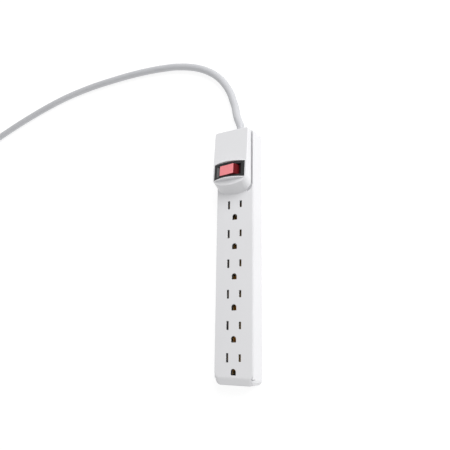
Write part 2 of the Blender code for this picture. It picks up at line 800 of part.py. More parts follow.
def make_terminals(materials, mount):
    """Line, load and lamp tabs, and the bimetal strip with the fixed contact."""
    brass = materials["brass"]
    tab("line_terminal", TAB_X, -10.5, brass, mount)
    tab("lamp_terminal", -TAB_X, -9.9, brass, mount)
    half_y = TAB_WIDTH / 2
    blade = [(-half_y, TAB_BOTTOM), (half_y, TAB_BOTTOM), (half_y, -10.4), (1.6, -10.4)]
    blade += [(1.6, -8.35), (-1.6, -8.35), (-1.6, -10.4), (-half_y, -10.4)]
    half_x = TAB_THICKNESS / 2
    prism("load_terminal", blade, -half_x, half_x, "x", brass, mount)
    strip = box("bimetal_arm", (4.6, -2.0, -10.2), (10.2, 2.0, -9.85), materials["silver"], mount)
    rivet = turned("fixed_rivet", ((1.2, -10.0), (1.2, -9.6)), (6.2, 0), "z", 10, None, mount)
    combine(strip, "UNION", [rivet])


def make_switch_base(materials, mount):
    """The plate that closes the housing, with a slot for each tab."""
    low = (-HOUSING_HALF_X, -HOUSING_HALF_Y, BASE_PLATE_BOTTOM)
    high = (HOUSING_HALF_X, HOUSING_HALF_Y, BASE_PLATE_TOP)
    plate = box("switch_base", low, high, materials["black_bezel"], mount)
    slots = []
    for x in (-TAB_X, 0.0, TAB_X):
        half_x, half_y = TAB_THICKNESS / 2 + GAP, TAB_WIDTH / 2 + GAP
        low, high = (x - half_x, -half_y, -15.0), (x + half_x, half_y, -9.0)
        slots.append(box("tab_slot", low, high, parent=mount))
    combine(plate, "DIFFERENCE", slots)


def make_lamp(materials, mount):
    """The neon lamp and its series resistor, each with short leads."""
    lamp = [(0.3, -11.2), (0.3, -10.5), (1.1, -10.4), (1.5, -9.6)]
    lamp += [(1.5, -5.4), (0.8, -4.6), (0.3, -4.2)]
    turned("neon_lamp", lamp, (4.0, -5.3), "x", 10, materials["glass"], mount)
    resistor = ((0.3, -11.0), (0.3, -10.0), (1.0, -9.9), (1.0, -5.1), (0.3, -5.0), (0.3, -4.2))
    turned("lamp_resistor", resistor, (-4.0, -5.6), "x", 10, materials["resistor_tan"], mount)


def make_receptacles(materials, mount):
    """Insulated push-on connectors on the three tabs."""
    for name, x in (("line", TAB_X), ("load", 0.0), ("lamp", -TAB_X)):
        body = box(
            name + "_receptacle", (x - 1.6, -4.1, -18.2), (x + 1.6, 4.1, -12.8),
            materials["nylon"], mount,
        )
        half_x, half_y = TAB_THICKNESS / 2 + GAP, TAB_WIDTH / 2 + GAP
        low = (x - half_x, -half_y, TAB_BOTTOM - GAP)
        mouth = box("mouth", low, (x + half_x, half_y, -12.0), parent=mount)
        combine(body, "DIFFERENCE", [mouth])


def make_switch(materials, mount):
    """Every piece of the switch."""
    make_switch_frame(materials, mount)
    make_switch_base(materials, mount)
    rocker = make_rocker(materials, mount)
    make_plunger(materials, rocker)
    make_plunger_spring(materials, rocker)
    make_contact_arm(materials, mount)
    make_terminals(materials, mount)
    make_lamp(materials, mount)
    make_receptacles(materials, mount)


# ---------------------------------------------------------------- conductors


def make_bar(name, x, half_width, end_y, leaf_ys, leaf_x, leaf_half_y, material):
    """A flat bar with a pair of standing contact leaves at each outlet."""
    low = (x - half_width, -106.0, BAR_Z)
    bar = box(name, low, (x + half_width, end_y, BAR_Z + BAR_THICKNESS), material)
    bm = bmesh.new()
    for y in leaf_ys:
        for side in (-1, 1):
            low_x, high_x = sorted((x + side * leaf_x, x + side * (leaf_x + LEAF_THICKNESS)))
            leaf = rectangle(low_x, high_x, y - leaf_half_y, y + leaf_half_y)
            add_stack(bm, lifted(leaf, BAR_Z + 0.2, LEAF_TOP))
    combine(bar, "UNION", [finish_mesh("leaves", bm)])


def make_bars(materials):
    """The three pressed brass bars under the outlets."""
    brass = materials["brass"]
    ground_ys = [y - GROUND_DROP for y in OUTLET_YS]
    make_bar("neutral_bus", -BLADE_X, 1.9, 51.0, OUTLET_YS, 0.8, 2.8, brass)
    make_bar("line_bus", BLADE_X, 1.9, 51.0, OUTLET_YS, 0.8, 2.8, brass)
    make_bar("ground_bus", 0.0, 2.8, 51.0, ground_ys, 2.15, 2.2, brass)


def wire(name, route, radius, material):
    """An insulated conductor along a smooth route."""
    path = smooth_path([Vector(point) for point in route], 3.2)
    return tube(name, path, radius, 1, material)


def make_wires(materials):
    """The conductors between the cord, the switch and the bars."""
    bar_mid = BAR_Z + BAR_THICKNESS / 2
    line = [(1.65, 92.1, 10.55), (3.6, 88.5, 9.2), (7.2, 83.5, 6.0), (9.0, 78.6, 4.4)]
    line += [(9.0, 75.6, 5.2), (9.0, 74.1, 7.2), (9.0, 74.05, 9.1)]
    wire("line_wire", line, 1.3, materials["wire_black"])
    neutral = [(-1.65, 92.1, 10.55), (-5.0, 89.0, 9.4), (-11.5, 84.0, 6.2), (-14.4, 76.0, 4.6)]
    neutral += [(-12.6, 67.0, 5.0), (-8.0, 61.0, 6.2), (-BLADE_X, 56.5, bar_mid)]
    neutral += [(-BLADE_X, 51.4, bar_mid)]
    wire("neutral_wire", neutral, 1.3, materials["wire_white"])
    ground = [(0.0, 92.1, 7.7), (-1.6, 88.5, 6.6), (-4.4, 82.0, 4.8), (-4.6, 72.0, 4.2)]
    ground += [(-2.6, 63.0, 5.2), (0.0, 56.5, bar_mid), (0.0, 51.4, bar_mid)]
    wire("ground_wire", ground, 1.3, materials["wire_green"])
    load = [(0.0, 74.05, 9.1), (0.0, 73.6, 7.0), (0.6, 71.0, 4.6), (3.4, 65.5, 4.3)]
    load += [(6.0, 60.0, 6.0), (BLADE_X, 56.5, bar_mid), (BLADE_X, 51.4, bar_mid)]
    wire("load_wire", load, 1.3, materials["wire_black"])
    lamp = [(-9.0, 74.05, 9.1), (-9.0, 73.3, 7.4), (-8.7, 70.0, 7.0), (-7.6, 64.0, 9.4)]
    lamp += [(-6.6, 57.0, 11.4), (-BLADE_X, 51.6, 10.0), (-BLADE_X, 49.9, 7.6)]
    wire("lamp_wire", lamp, 0.8, materials["wire_white"])


# ---------------------------------------------------------------- cord


def make_strain_relief(materials):
    """The tapered bushing in the end wall, with its flange inside."""
    profile = (
        (4.9, 106.0), (4.9, 113.2), (6.4, 113.3), (6.4, 115.4), (5.0, 115.5), (5.0, 119.5),
        (4.8, 123.5), (4.5, 127.0), (4.35, RELIEF_TIP_Y),
    )
    relief = turned("strain_relief", profile, (0, EXIT_Z), "y", 16, materials["cord_white"])
    bore = ((CORD_RADIUS + 0.2, 100.0), (CORD_RADIUS + 0.2, 130.0))
    combine(relief, "DIFFERENCE", [turned("relief_bore", bore, (0, EXIT_Z), "y", 16)])


def make_inner_cord(materials):
    """The jacketed stretch between the relief's tip and the clamp."""
    profile = ((CORD_RADIUS, 93.0), (CORD_RADIUS, RELIEF_TIP_Y))
    turned("inner_cord", profile, (0, EXIT_Z), "y", 16, materials["cord_white"])


def make_cord_clamp(materials):
    """The bar that two screws press on the cord."""
    low, high = (-11.0, CLAMP_Y - 3.0, CLAMP_BOTTOM), (11.0, CLAMP_Y + 3.0, CLAMP_TOP)
    clamp = box("cord_clamp", low, high, materials["nylon"])
    seat = ((CORD_RADIUS + GAP, 90.0), (CORD_RADIUS + GAP, 110.0))
    tools = [turned("clamp_seat", seat, (0, EXIT_Z), "y", 16)]
    for side in (-1, 1):
        centre = (side * CLAMP_SCREW_X, CLAMP_Y)
        tools.append(turned("clamp_bore", ((1.5, 5.0), (1.5, 20.0)), centre, count=8))
    combine(clamp, "DIFFERENCE", tools)


def coil_point(angle, radius, z):
    """A point at an angle round the coil."""
    x = COIL_CENTRE[0] + radius * math.cos(angle)
    y = COIL_CENTRE[1] + radius * math.sin(angle)
    return Vector((x, y, z))


def make_cord(materials):
    """The cord from the relief's tip to where it reaches the coil."""
    path = smooth_path([Vector(point) for point in CORD_ROUTE], CORD_SPACING)
    path.insert(1, path[0] + Vector((0.0, EXIT_RUN, 0.0)))
    tube("power_cord", path, CORD_RADIUS, 3, materials["cord_white"])


def make_coil(materials):
    """The outer shape of the wound cord: a turned ring with softened edges."""
    half = CORD_RADIUS + 0.3
    low, high = COIL_BOTTOM, COIL_BOTTOM + 4 * CORD_RADIUS + 0.4
    soft = 1.6
    section = [
        (COIL_RADIUS - half, low + soft), (COIL_RADIUS - half + soft, low),
        (COIL_RADIUS + half - soft, low), (COIL_RADIUS + half, low + soft),
        (COIL_RADIUS + half, high - soft), (COIL_RADIUS + half - soft, high),
        (COIL_RADIUS - half + soft, high), (COIL_RADIUS - half, high - soft),
    ]
    count = 48
    bm = bmesh.new()
    rows = []
    for i in range(count):
        angle = 2 * math.pi * i / count
        rows.append([bm.verts.new(coil_point(angle, radius, z)) for radius, z in section])
    for row, following in zip(rows, rows[1:] + rows[:1]):
        for i in range(len(section)):
            j = (i + 1) % len(section)
            bm.faces.new((row[i], row[j], following[j], following[i]))
    finish_mesh("cord_coil", bm, materials["cord_white"])


def make_tie(materials):
    """A flat band round both layers of the coil."""
    half_width, half_r = 4.0, CORD_RADIUS + 0.3 + GAP
    low, high = COIL_BOTTOM - GAP, COIL_BOTTOM + 4 * CORD_RADIUS + 0.4 + GAP
    thickness = 0.6
    outer = rectangle(-half_r - thickness, half_r + thickness, low - thickness, high + thickness)
    band = prism("coil_tie", outer, -half_width, half_width, "y", materials["tie_black"])
    inner = rectangle(-half_r, half_r, low, high)
    band_hole = prism("tie_hole", inner, -half_width - 1, half_width + 1, "y", parent=band)
    band.location = coil_point(TIE_ANGLE, COIL_RADIUS, 0.0) * MM
    band.rotation_euler = (0.0, 0.0, TIE_ANGLE)
    combine(band, "DIFFERENCE", [band_hole])


def make_plug_mount():
    """The empty at the cord's end: x runs along the plug towards its prongs."""
    leave = COIL_ENTRY_ANGLE + 2 * math.pi * COIL_TURNS
    heading = leave + math.pi / 2
    start = coil_point(leave, COIL_RADIUS, PLUG_AXIS_Z)
    reach = Vector((math.cos(heading), math.sin(heading), 0.0)) * PLUG_START
    mount = bpy.data.objects.new("plug_mount", None)
    mount.location = (start + reach) * MM
    mount.rotation_euler = (0.0, 0.0, heading)
    bpy.context.scene.collection.objects.link(mount)
    return mount


def plug_section(half_y, half_z, corner, x):
    """A rounded rectangle across the plug."""
    outline = rounded_outline(half_y, -half_z, half_z, corner, corner, 3)
    return [(x, y, z) for y, z in outline]


def make_plug(materials):
    """The moulded plug with its relief, two blades and a round ground pin."""
    mount = make_plug_mount()
    sections = [
        plug_section(4.5, 4.5, 4.4, 0.0),
        plug_section(6.0, 6.0, 5.8, 18.0),
        plug_section(9.5, 9.5, 5.0, 23.0),
        plug_section(12.2, 11.6, 5.0, 37.0),
        plug_section(12.2, 11.6, 5.0, 52.0),
        plug_section(11.6, 11.0, 4.4, 54.0),
    ]
    body = stack("plug_body", sections, materials["cord_white"], mount)
    blade_z, pin_z = 4.0, -7.9
    face, root, tip = 54.0, 46.0, 71.0
    tools = []
    for name, side in (("plug_line_blade", -1), ("plug_neutral_blade", 1)):
        y = side * BLADE_X
        blade = [(root, blade_z - 3.15), (tip - 1.5, blade_z - 3.15), (tip, blade_z - 1.6)]
        blade += [(tip, blade_z + 1.6), (tip - 1.5, blade_z + 3.15), (root, blade_z + 3.15)]
        piece = prism(name, blade, y - 0.75, y + 0.75, "y", materials["brass"], mount)
        bore = ((1.6, y - 2), (1.6, y + 2))
        hole = turned("hole", bore, (tip - 5.0, blade_z), "y", 12, None, mount)
        combine(piece, "DIFFERENCE", [hole])
        low = (root - GAP, y - 0.75 - GAP, blade_z - 3.15 - GAP)
        high = (face + 1, y + 0.75 + GAP, blade_z + 3.15 + GAP)
        tools.append(box("blade_pocket", low, high, parent=mount))
    pin = ((2.38, root), (2.38, tip - 1.0), (1.6, tip + 1.0), (0.7, tip + 1.8))
    turned("plug_ground_pin", pin, (0, pin_z), "x", 16, materials["brass"], mount)
    pocket = ((2.38 + GAP, root - GAP), (2.38 + GAP, face + 1))
    tools.append(turned("pin_pocket", pocket, (0, pin_z), "x", 16, None, mount))
    combine(body, "DIFFERENCE", tools)


def main():
    clear_scene()
    materials = make_materials()
    mount = make_mount()
    make_base_shell(materials)
    make_top_cover(materials, mount)
    make_fasteners(materials)
    make_switch(materials, mount)
    make_bars(materials)
    make_wires(materials)
    make_strain_relief(materials)
    make_inner_cord(materials)
    make_cord_clamp(materials)
    make_cord(materials)
    make_coil(materials)
    make_tie(materials)
    make_plug(materials)
    for obj in bpy.data.objects:
        if obj.type == "MESH" and not obj.hide_render:
            shade_round(obj)


main()
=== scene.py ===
"""Looks of a six-outlet power strip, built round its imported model.

The strip lies on its back with +X across, +Y towards the cord and +Z up. Shapes are worked out in
millimetres and turned into metres when a mesh is finished. The switch has its own frame: its origin
is on the rocker's axis, x runs across, y along that axis and z out of the head.
"""

import json
import math

import bmesh
import bpy
from mathutils import Matrix, Vector


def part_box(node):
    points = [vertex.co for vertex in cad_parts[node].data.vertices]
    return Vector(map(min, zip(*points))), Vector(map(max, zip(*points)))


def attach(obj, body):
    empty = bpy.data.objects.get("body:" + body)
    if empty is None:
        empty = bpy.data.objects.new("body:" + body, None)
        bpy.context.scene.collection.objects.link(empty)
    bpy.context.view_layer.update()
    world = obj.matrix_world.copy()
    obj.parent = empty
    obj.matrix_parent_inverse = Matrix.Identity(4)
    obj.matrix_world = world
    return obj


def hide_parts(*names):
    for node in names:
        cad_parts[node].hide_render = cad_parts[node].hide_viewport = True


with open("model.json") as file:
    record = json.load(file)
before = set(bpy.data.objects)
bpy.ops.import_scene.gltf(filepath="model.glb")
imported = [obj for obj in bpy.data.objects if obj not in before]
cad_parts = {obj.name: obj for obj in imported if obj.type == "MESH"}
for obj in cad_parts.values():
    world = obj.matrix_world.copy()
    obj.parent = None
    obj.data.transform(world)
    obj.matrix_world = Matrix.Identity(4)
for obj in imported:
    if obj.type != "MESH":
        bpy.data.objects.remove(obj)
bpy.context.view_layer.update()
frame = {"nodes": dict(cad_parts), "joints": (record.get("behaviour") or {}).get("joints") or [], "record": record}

MM = 0.001
GAP = 0.3

MOUNTS = {mount["name"]: Vector(mount["pos_m"]) / MM for mount in frame["record"]["mounts"]}
JOINTS = {joint["name"]: joint for joint in frame["joints"]}

# Casing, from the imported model
BASE_LOW, BASE_HIGH = (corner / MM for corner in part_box("base_shell"))
HALF_WIDTH = BASE_HIGH.x
HALF_LENGTH = BASE_HIGH.y
OUTLETS = [place for name, place in sorted(MOUNTS.items()) if name.startswith("outlet")]
FACE_Z = OUTLETS[0].z
WALL = 1.8
PLATE = 2.2
INNER_HALF_WIDTH = HALF_WIDTH - WALL
SEAM_Z = 19.75
SEAM_HALF_GAP = 0.22
FAR_SEAM_Z = 16.0
FAR_SEAM_Y = -112.4
FAR_CORNER = 5.0
CORD_CORNER = 2.5

# Outlets, NEMA 5-15 pattern
BLADE_X = 6.35
GROUND_DROP = 12.0
SLOT_WIDTH = 2.4
NEUTRAL_LENGTH = 7.9
LINE_LENGTH = 6.4
GROUND_WIDTH = 5.3
GROUND_HEIGHT = 5.5
SLOT_CHAMFER = 0.2
POCKET_MARGIN = 0.8
POCKET_Z = 19.6

# Head
HEAD_HALF_WIDTH = 18.0
SKIRT_HALF_WIDTH = 17.2
HEAD_TOE_Y = 55.5
HEAD_TOE_RUN = 5.9
HEAD_TOE_BOW = 40.0
HEAD_TOE_CORNER = 8.0
HEAD_END_CORNER = 2.4
HEAD_END_HEIGHT = 28.1
HEAD_SLOPE = 0.074
HEAD_EDGE = 0.6
HEAD_WALL = 1.9
GROOVE = 1.6
GROOVE_TOP_Z = 22.3
GROOVE_FLOOR_Z = 18.6
CURL_TRIM = 0.5
CURL_BITE = 0.8
LIP_START_Y = 64.0
SKIRT_Z = 16.0

# Switch, in its own frame
BEZEL_HALF_X = 16.1
BEZEL_HALF_Y = 7.75
BEZEL_END_Z = 3.7
BEZEL_RISE = 2.4
BEZEL_THICKNESS = 1.6
WELL_HALF_X = 13.0
WELL_FLOOR_HALF_X = 10.8
WELL_HALF_Y = 5.3
WELL_DEPTH = 1.8
COLLAR = 0.8
COLLAR_STEP = 0.25
COLLAR_RISE = 4.4
OPENING_HALF_X = 10.6
OPENING_HALF_Y = 5.25
OPENING_BOTTOM = 2.0
CAVITY_HALF_X = 11.6
CAVITY_HALF_Y = 5.85
HOUSING_HALF_X = 12.9
HOUSING_HALF_Y = 7.0
HOUSING_BOTTOM = -10.6
ROCKER_TILT = math.radians(-8.0)
ROCKER_HALF_Y = 4.85
TRUNNION_RADIUS = 1.15
# Where the rocker's painted shade starts: faces beyond this x or below this height get the darker lens copy
PAINTED_SHADE_FROM_X = 7.9
PAINTED_SHADE_BELOW_Z = 6.9

# Supply cord
CORD_RADIUS = 3.84
EXIT_Z = 9.6
RELIEF_END_Y = 122.5
COIL_RADIUS = 44.0
COIL_BOTTOM = 1.0
COIL_TURNS = 1.25
COIL_CENTRE = (-453.0, 139.0)
COIL_ENTRY_ANGLE = math.radians(107.0)
COIL_STEPS = 20
COIL_LIFT = 2 * CORD_RADIUS + 0.15
TIE_ANGLE = math.radians(140.0)
PLUG_AXIS_Z = 11.9
PLUG_START = 30.2
PLUG_LENGTH = 54.0
PLUG_RINGS = 216

# Studio
FLOOR_COLOUR = (0.4, 0.4, 0.4)
FLOOR_GLOW = 0.7
SKY_STRENGTH = 0.6

# Points that the cord's centre line runs through, from inside the strain relief to the coil
CORD_ROUTE = (
    (0.0, 110.0, 9.6),
    (0.0, 119.0, 9.6),
    (0.0, 127.9, 9.6),
    (-1.2, 132.0, 9.5),
    (-4.6, 140.0, 8.4),
    (-7.3, 148.0, 6.4),
    (-9.4, 155.0, 4.8),
    (-12.4, 163.1, 4.0),
    (-15.5, 171.9, 3.9),
    (-20.5, 181.3, 3.9),
    (-27.2, 190.7, 3.9),
    (-35.9, 199.5, 3.9),
    (-46.1, 207.0, 3.9),
    (-56.7, 213.0, 3.9),
    (-69.0, 218.1, 3.9),
    (-81.4, 222.0, 3.9),
    (-94.2, 225.1, 3.9),
    (-122.0, 229.3, 3.9),
    (-152.8, 232.0, 3.9),
    (-185.1, 233.2, 3.9),
    (-219.1, 233.3, 3.9),
    (-254.8, 231.3, 3.9),
    (-284.4, 227.6, 3.9),
    (-320.0, 220.9, 4.0),
    (-360.0, 211.4, 4.2),
    (-400.0, 200.2, 4.5),
    (-439.7, 189.1, 4.9),
)


# ---------------------------------------------------------------- camera


def make_camera():
    """The camera above the strip's right side, looking down its length."""
    data = bpy.data.cameras.new("camera")
    data.lens = 39.668
    data.sensor_width = 36.0
    camera = bpy.data.objects.new("camera", data)
    back = Vector((0.4935, -0.2287, 0.8391)).normalized()
    up = Vector((0.1038, 0.9734, 0.2043))
    right = up.cross(back).normalized()
    up = back.cross(right)
    turn = Matrix((right, up, back)).transposed().to_4x4()
    camera.matrix_world = Matrix.Translation((0.22108, -0.08048, 0.41379)) @ turn
    bpy.context.scene.collection.objects.link(camera)
    bpy.context.scene.camera = camera


# ---------------------------------------------------------------- mesh tools


def add_stack(bm, rings):
    """Skins a list of rings, each with the same number of points, and caps both ends."""
    rows = [[bm.verts.new(point) for point in ring] for ring in rings]
    count = len(rows[0])
    for lower, upper in zip(rows, rows[1:]):
        for i in range(count):
            j = (i + 1) % count
            bm.faces.new((lower[i], lower[j], upper[j], upper[i]))
    bm.faces.new(rows[0][::-1])
    bm.faces.new(rows[-1])


def finish_mesh(name, bm, material=None, place=None):
    """Turns a bmesh in millimetres into a linked object in metres, put in place first."""
    if place:
        bmesh.ops.transform(bm, matrix=place, verts=bm.verts)
    bmesh.ops.recalc_face_normals(bm, faces=bm.faces)
    bmesh.ops.scale(bm, vec=(MM, MM, MM), verts=bm.verts)
    mesh = bpy.data.meshes.new(name)
    bm.to_mesh(mesh)
    bm.free()
    obj = bpy.data.objects.new(name, mesh)
    bpy.context.scene.collection.objects.link(obj)
    if material:
        mesh.materials.append(material)
    return obj


def stack(name, rings, material=None, place=None):
    """One closed body skinned over rings."""
    bm = bmesh.new()
    add_stack(bm, rings)
    return finish_mesh(name, bm, material, place)


def lifted(outline, low, high, axis="z"):
    """The two end rings of an outline extruded along an axis."""
    to_space = {
        "x": lambda a, b, c: (c, a, b),
        "y": lambda a, b, c: (a, c, b),
        "z": lambda a, b, c: (a, b, c),
    }[axis]
    return [[to_space(a, b, c) for a, b in outline] for c in (low, high)]


def prism(name, outline, low, high, axis="z", place=None):
    """An outline extruded from low to high along an axis."""
    return stack(name, lifted(outline, low, high, axis), None, place)


def box(name, low, high, place=None):
    """A box between two opposite corners."""
    outline = [(low[0], low[1]), (high[0], low[1]), (high[0], high[1]), (low[0], high[1])]
    return prism(name, outline, low[2], high[2], "z", place)


def arc(centre, radius, start, end, steps):
    """Points on an arc, angles in degrees, both ends included."""
    points = []
    for i in range(steps + 1):
        angle = math.radians(start + (end - start) * i / steps)
        points.append((centre[0] + radius * math.cos(angle), centre[1] + radius * math.sin(angle)))
    return points


def circle(centre, radius, count):
    """A regular polygon's corners."""
    return arc(centre, radius, 0, 360, count)[:-1]


def turned(name, profile, centre, axis="z", count=32, material=None, place=None):
    """A turned solid: profile lists (radius, height along the axis) from one end to the other."""
    rings = [lifted(circle(centre, r, count), h, h, axis)[0] for r, h in profile]
    return stack(name, rings, material, place)


def filleted(corners, steps=5):
    """A closed outline whose corners (a, b, radius) are rounded."""
    outline = []
    count = len(corners)
    for i, (a, b, radius) in enumerate(corners):
        here = Vector((a, b))
        before = (Vector(corners[i - 1][:2]) - here).normalized()
        after = (Vector(corners[(i + 1) % count][:2]) - here).normalized()
        half = before.angle(after) / 2
        reach = radius / math.tan(half)
        first, last = here + before * reach, here + after * reach
        centre = here + (before + after).normalized() * (radius / math.sin(half))
        for k in range(steps + 1):
            chord = first.lerp(last, k / steps) - centre
            outline.append(tuple(centre + chord.normalized() * radius))
    return outline


def shrunk(outline, amount):
    """An anticlockwise outline moved inwards by a small amount."""
    result = []
    count = len(outline)
    for i, point in enumerate(outline):
        along = Vector(outline[(i + 1) % count]) - Vector(outline[i - 1])
        inward = Vector((-along.y, along.x)).normalized()
        result.append(tuple(Vector(point) + inward * amount))
    return result


def rounded_rectangle(low_a, high_a, low_b, high_b, radius, steps=4):
    """A rectangle with equal round corners."""
    corners = [(low_a, low_b), (high_a, low_b), (high_a, high_b), (low_a, high_b)]
    return filleted([(a, b, radius) for a, b in corners], steps)


def bake(obj):
    """Applies an object's modifiers to its mesh."""
    graph = bpy.context.evaluated_depsgraph_get()
    mesh = bpy.data.meshes.new_from_object(obj.evaluated_get(graph))
    obj.modifiers.clear()
    obj.data = mesh


def combine(obj, operation, tools):
    """Adds or cuts away each tool exactly, and removes the tools."""
    for tool in tools:
        modifier = obj.modifiers.new("cut", "BOOLEAN")
        modifier.operation = operation
        modifier.solver = "EXACT"
        modifier.object = tool
    bake(obj)
    for tool in tools:
        bpy.data.objects.remove(tool)


def smooth(obj, angle=35.0):
    """Smooth shading that keeps sharp edges and keeps large flat faces flat."""
    obj.data.shade_smooth()
    obj.data.set_sharp_from_angle(angle=math.radians(angle))
    weighted = obj.modifiers.new("weighted_normals", "WEIGHTED_NORMAL")
    weighted.keep_sharp = True


def finish_piece(obj, body, slot_name, *nodes):
    """Shades a piece, hangs it on a body and says which nodes it stands for."""
    if obj.type == "MESH":
        smooth(obj)
    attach(obj, body)
    if nodes:
        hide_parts(*nodes)


def smooth_path(points, spacing):
    """Evenly spaced points on a Catmull-Rom curve through the given points."""
    ends = [2 * points[0] - points[1], 2 * points[-1] - points[-2]]
    knots = [ends[0], *points, ends[1]]
    dense = []
    steps = 24
    for a, b, c, d in zip(knots, knots[1:], knots[2:], knots[3:]):
        for i in range(steps):
            t = i / steps
            bend = (2 * a - 5 * b + 4 * c - d) * t * t + (3 * b - a - 3 * c + d) * t**3
            dense.append((2 * b + (c - a) * t + bend) / 2)
    dense.append(points[-1])
    return evenly_spaced(dense, spacing)


def evenly_spaced(points, spacing):
    """Resamples a fine polyline at equal steps, close to the spacing asked for."""
    lengths = [0.0]
    for a, b in zip(points, points[1:]):
        lengths.append(lengths[-1] + (b - a).length)
    count = max(1, round(lengths[-1] / spacing))
    result = []
    index = 0
    for i in range(count + 1):
        target = lengths[-1] * i / count
        while index < len(points) - 2 and lengths[index + 1] < target:
            index += 1
        span = lengths[index + 1] - lengths[index]
        share = (target - lengths[index]) / span
        result.append(points[index].lerp(points[index + 1], share))
    return result


def tube_rings(path, radius, sides):
    """Rings round a path that don't twist along it."""
    rings = []
    side = Vector((0.0, 0.0, 1.0))
    for i, point in enumerate(path):
        ahead = (path[min(i + 1, len(path) - 1)] - path[max(i - 1, 0)]).normalized()
        side = (side - ahead * side.dot(ahead)).normalized()
        other = ahead.cross(side)
        ring = []
        for k in range(sides):
            angle = 2 * math.pi * k / sides
            ring.append(point + (side * math.cos(angle) + other * math.sin(angle)) * radius)
        rings.append(ring)
    return rings


# ---------------------------------------------------------------- material tools


class Finish:
    """A material being put together: its node tree, its shader and the object's coordinates."""

    def __init__(self, name, colour, roughness, metallic=0.0):
        self.material = bpy.data.materials.new(name)
        self.material.use_nodes = True
        self.tree = self.material.node_tree
        self.shader = self.tree.nodes["Principled BSDF"]
        self.colour = colour
        self.roughness = roughness
        self.set("Base Color", (*colour, 1.0))
        self.set("Roughness", roughness)
        self.set("Metallic", metallic)
        self.where = self.tree.nodes.new("ShaderNodeTexCoord").outputs["Object"]
        self.height = None

    def set(self, name, value):
        self.shader.inputs[name].default_value = value

    def link(self, source, name):
        self.tree.links.new(source, self.shader.inputs[name])

    def stretched(self, scale):
        """Coordinates stretched by a different amount along each axis."""
        mapping = self.tree.nodes.new("ShaderNodeMapping")
        mapping.inputs["Scale"].default_value = scale
        self.tree.links.new(self.where, mapping.inputs["Vector"])
        return mapping.outputs["Vector"]

    def noise(self, scale, detail=2.0, where=None):
        node = self.tree.nodes.new("ShaderNodeTexNoise")
        node.inputs["Scale"].default_value = scale
        node.inputs["Detail"].default_value = detail
        self.tree.links.new(where or self.where, node.inputs["Vector"])
        return node.outputs["Fac"]

    def remap(self, source, low, high, start=0.3, end=0.7):
        """A number that goes from low to high as source goes from start to end."""
        node = self.tree.nodes.new("ShaderNodeMapRange")
        limits = {"From Min": start, "From Max": end, "To Min": low, "To Max": high}
        for name, value in limits.items():
            node.inputs[name].default_value = value
        self.tree.links.new(source, node.inputs["Value"])
        return node.outputs["Result"]

    def blend(self, factor, first, second):
        """A colour between two colours or sockets."""
        node = self.tree.nodes.new("ShaderNodeMix")
        node.data_type = "RGBA"
        self.tree.links.new(factor, node.inputs["Factor"])
        for name, value in (("A", first), ("B", second)):
            socket = [s for s in node.inputs if s.name == name and s.type == "RGBA"][0]
            if isinstance(value, tuple):
                socket.default_value = (*value, 1.0)
            else:
                self.tree.links.new(value, socket)
        return [s for s in node.outputs if s.type == "RGBA"][0]

    def mottle(self, scale, amount):
        """Slow variation of colour and roughness over the surface."""
        slow = self.noise(scale, 3.0)
        dark = tuple(c * (1 - amount) for c in self.colour)
        light = tuple(min(1.0, c * (1 + amount)) for c in self.colour)
        self.link(self.blend(self.remap(slow, 0.0, 1.0), dark, light), "Base Color")
        rough = self.roughness
        self.link(self.remap(slow, rough * 0.9, rough * 1.1), "Roughness")
        return self

    def bump(self, height, strength, distance):
        """Surface relief, laid over any relief already there."""
        node = self.tree.nodes.new("ShaderNodeBump")
        node.inputs["Strength"].default_value = strength
        node.inputs["Distance"].default_value = distance
        self.tree.links.new(height, node.inputs["Height"])
        if self.height:
            self.tree.links.new(self.height, node.inputs["Normal"])
        self.height = node.outputs["Normal"]
        self.link(self.height, "Normal")
        return self


# ---------------------------------------------------------------- materials


def moulded(name, colour, roughness, grain=0.1):
    """Moulded plastic: a fine spark-eroded grain over a slow waviness."""
    finish = Finish(name, colour, roughness).mottle(22.0, 0.012)
    finish.bump(finish.noise(3200.0), grain, 0.00002)
    finish.bump(finish.noise(90.0, 1.0), 0.04, 0.0002)
    return finish


def lens_finish(name, colour, glow, coat, roughness, gloss):
    """Translucent red lens with a faint even glow; with darker settings it also makes the lens's painted shade."""
    finish = Finish(name, colour, roughness)
    finish.mottle(60.0, 0.05)
    finish.set("Specular IOR Level", gloss)
    finish.set("Coat Weight", coat)
    finish.set("Coat Roughness", 0.05)
    finish.set("Emission Color", (*glow, 1.0))
    finish.set("Emission Strength", 0.06)
    finish.bump(finish.noise(500.0), 0.03, 0.00005)
    return finish


def metal(name, colour, roughness, stretch=(1.0, 1.0, 1.0), grain=0.15):
    """Drawn or rolled metal, with fine lines along its length and a little tarnish."""
    finish = Finish(name, colour, roughness, 1.0)
    lines = finish.noise(900.0, 3.0, finish.stretched(stretch))
    tarnish = finish.noise(260.0, 4.0)
    dull = tuple(c * 0.72 for c in colour)
    share = finish.remap(tarnish, 0.0, 1.0, 0.45, 0.75)
    finish.link(finish.blend(share, colour, dull), "Base Color")
    finish.link(finish.remap(lines, roughness * 0.75, roughness * 1.35), "Roughness")
    finish.bump(lines, grain, 0.00002)
    return finish


def sheathing(name, colour, roughness):
    """Extruded PVC: soft, with faint waves and a dusty grain."""
    finish = Finish(name, colour, roughness).mottle(35.0, 0.02)
    finish.set("Sheen Weight", 0.08)
    finish.bump(finish.noise(1500.0), 0.12, 0.00003)
    finish.bump(finish.noise(120.0, 1.0), 0.08, 0.0003)
    return finish


